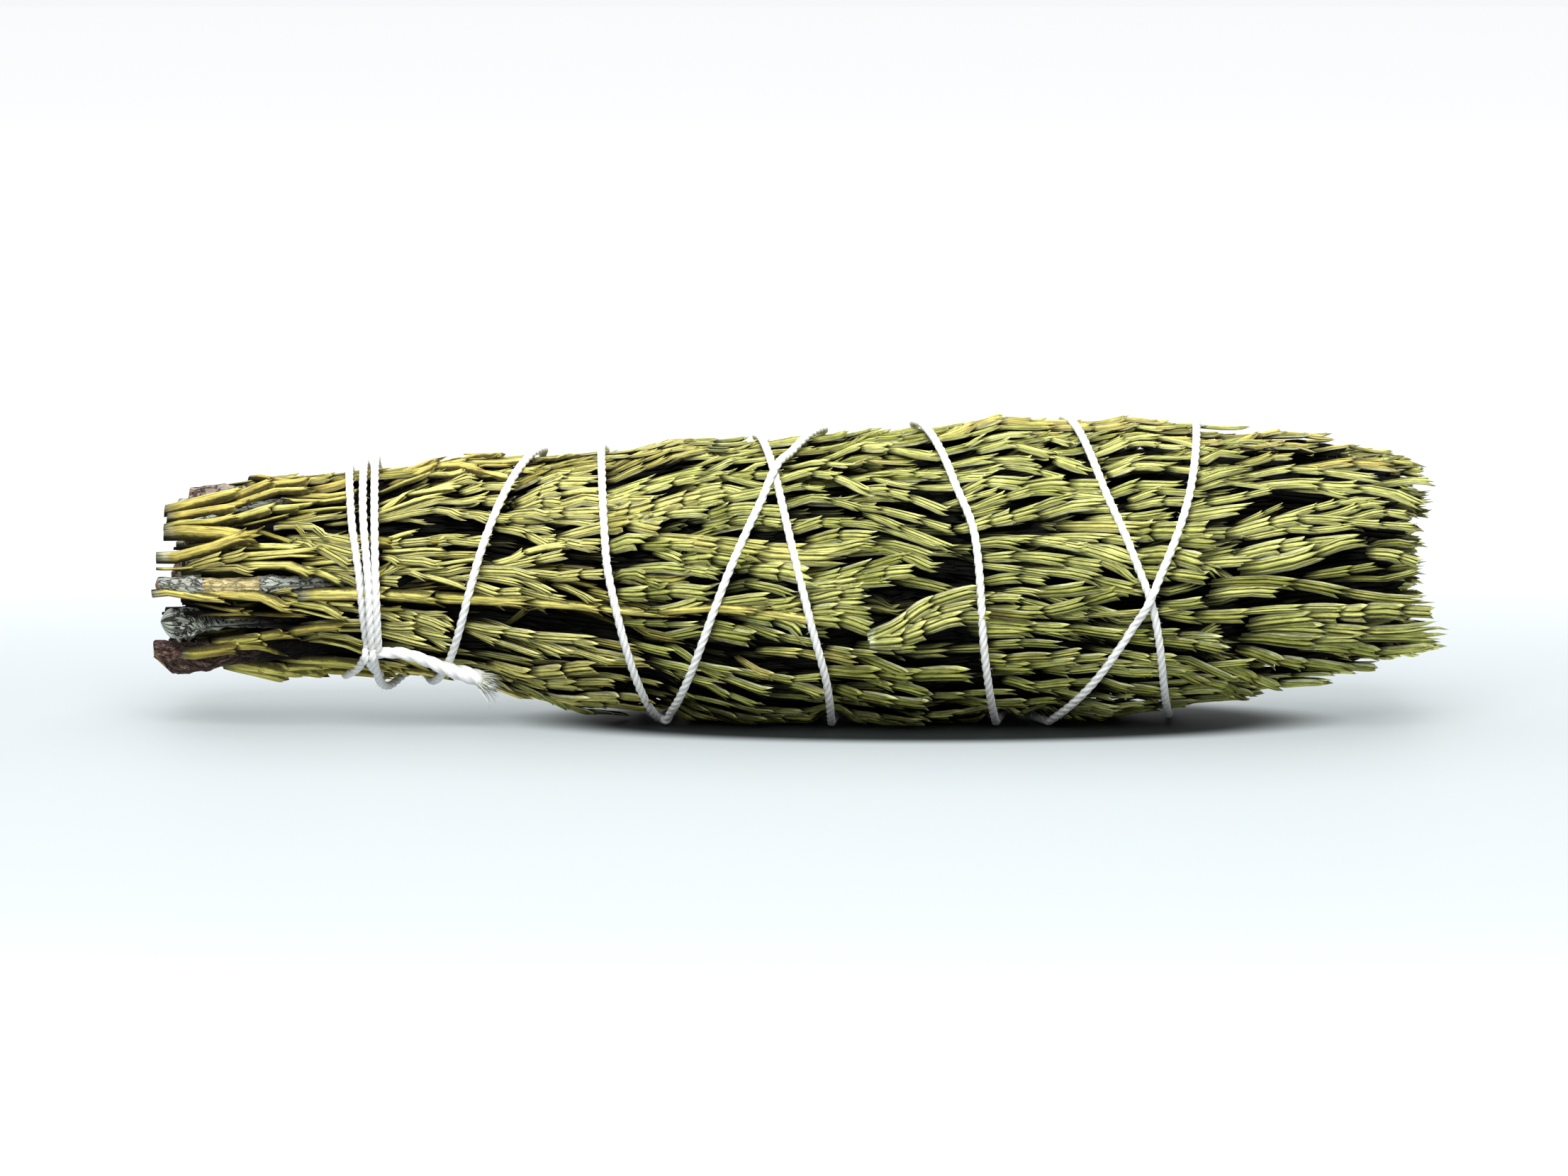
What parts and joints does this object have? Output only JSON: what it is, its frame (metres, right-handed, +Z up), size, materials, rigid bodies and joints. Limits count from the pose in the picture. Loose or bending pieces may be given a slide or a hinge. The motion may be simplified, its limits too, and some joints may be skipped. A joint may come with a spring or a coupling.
{
  "type": "incense cedar smudge stick",
  "caption": "Bundle of dried incense cedar sprays with woody cut ends, bound along its length with white cotton string, lying on its side.",
  "frame": {"origin": "bottom centre of the bundle's box, on the surface it lies on", "axes": "+X along the bundle from the cut stems to the trimmed leafy end, +Y to its back, +Z up"},
  "size_m": [0.2142, 0.0565, 0.0514],
  "materials": {
    "green_foliage": "dry and matte",
    "golden_foliage": "dry and matte",
    "inner_foliage": "dry and matte",
    "bark": "rough bark",
    "cotton_string": "soft twisted cotton"
  },
  "bodies": {
    "root": {"butt_spray_1": "golden_foliage", "butt_spray_2": "golden_foliage", "butt_spray_3": "golden_foliage", "butt_spray_4": "golden_foliage", "butt_spray_5": "golden_foliage", "butt_spray_6": "golden_foliage", "butt_spray_7": "golden_foliage", "butt_spray_8": "golden_foliage", "belly_spray_1": "green_foliage", "belly_spray_2": "green_foliage", "belly_spray_3": "green_foliage", "belly_spray_4": "green_foliage", "belly_spray_5": "green_foliage", "belly_spray_6": "green_foliage", "belly_spray_7": "green_foliage", "belly_spray_8": "green_foliage", "belly_spray_9": "green_foliage", "tip_spray_1": "green_foliage", "tip_spray_2": "green_foliage", "tip_spray_3": "green_foliage", "tip_spray_4": "green_foliage", "tip_spray_5": "green_foliage", "tip_spray_6": "green_foliage", "tip_spray_7": "green_foliage", "tip_spray_8": "green_foliage", "woody_stem_1": "bark", "woody_stem_2": "bark", "woody_stem_3": "bark", "woody_stem_4": "bark", "woody_stem_5": "bark", "woody_stem_6": "bark", "woody_stem_7": "bark", "inner_stem_1": "bark", "inner_stem_2": "bark", "inner_stem_3": "bark", "inner_stem_4": "bark", "inner_stem_5": "bark", "inner_stem_6": "bark", "inner_stem_7": "bark", "inner_spray_1": "inner_foliage", "inner_spray_2": "inner_foliage", "inner_spray_3": "inner_foliage", "inner_spray_4": "inner_foliage", "inner_spray_5": "inner_foliage", "inner_spray_6": "inner_foliage", "inner_spray_7": "inner_foliage", "string": "cotton_string"}
  },
  "joints": []
}
